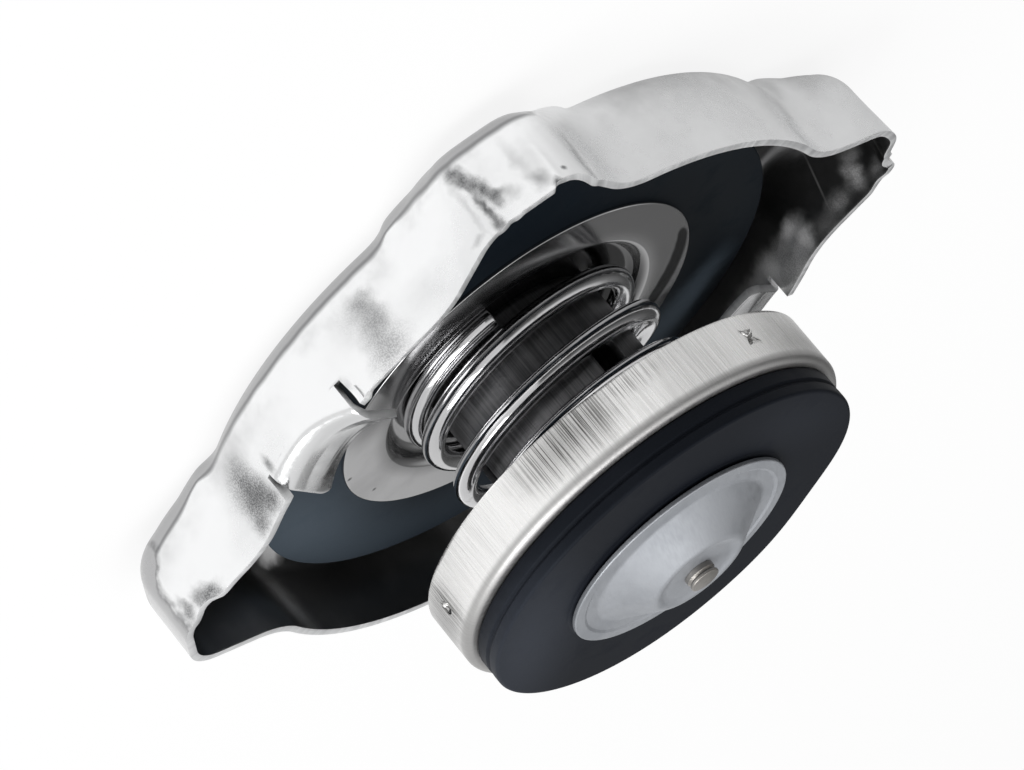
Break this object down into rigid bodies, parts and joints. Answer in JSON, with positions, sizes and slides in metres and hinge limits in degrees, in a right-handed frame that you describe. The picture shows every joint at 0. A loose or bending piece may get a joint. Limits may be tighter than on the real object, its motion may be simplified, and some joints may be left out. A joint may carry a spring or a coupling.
{
  "type": "radiator cap",
  "caption": "Pressure cap for a radiator neck: lobed pressed shell with bayonet tongues, sprung valve in a rubber-faced cup, and a small vacuum valve at its centre.",
  "frame": {"origin": "on the axis of the cap, on the flat of its crown, which it stands on upside down", "axes": "+Z along the axis from the crown to the valve, +X towards one of the four grip lobes"},
  "size_m": [0.0858, 0.0858, 0.0356],
  "materials": {
    "shell_plating": "bright plated steel",
    "seal_rubber": "matte",
    "polished_steel": "mirror",
    "drawn_steel": "drawn, half bright",
    "cup_steel": "satin",
    "valve_alloy": "soft matte"
  },
  "bodies": {
    "shell": {"cap_shell": "shell_plating", "upper_gasket": "seal_rubber"},
    "column": {"spring_disc": "polished_steel", "centre_rivet": "drawn_steel", "bell_barrel": "drawn_steel", "main_spring": "polished_steel"},
    "pressure_valve": {"bell_retainer": "drawn_steel", "valve_plate": "drawn_steel", "valve_cup": "cup_steel", "pressure_seal": "seal_rubber", "vacuum_spring": "polished_steel"},
    "vacuum_valve": {"vacuum_valve": "valve_alloy", "vacuum_stem": "drawn_steel", "keeper_washer": "drawn_steel"}
  },
  "joints": [
    {"name": "column_swivel", "type": "hinge", "parent": "shell", "child": "column", "pos_m": [0, 0, 0.0045], "axis": [0, 0, 1], "continuous": true},
    {"name": "pressure_lift", "type": "slide", "parent": "column", "child": "pressure_valve", "axis": [0, 0, -1], "range_m": [0, 0.0021], "stiffness_N_per_m": 800, "springref_m": -0.004, "deforming": ["main_spring"]},
    {"name": "vacuum_lift", "type": "slide", "parent": "pressure_valve", "child": "vacuum_valve", "axis": [0, 0, 1], "range_m": [0, 0.0015], "stiffness_N_per_m": 60, "springref_m": -0.002, "deforming": ["vacuum_spring"]}
  ]
}
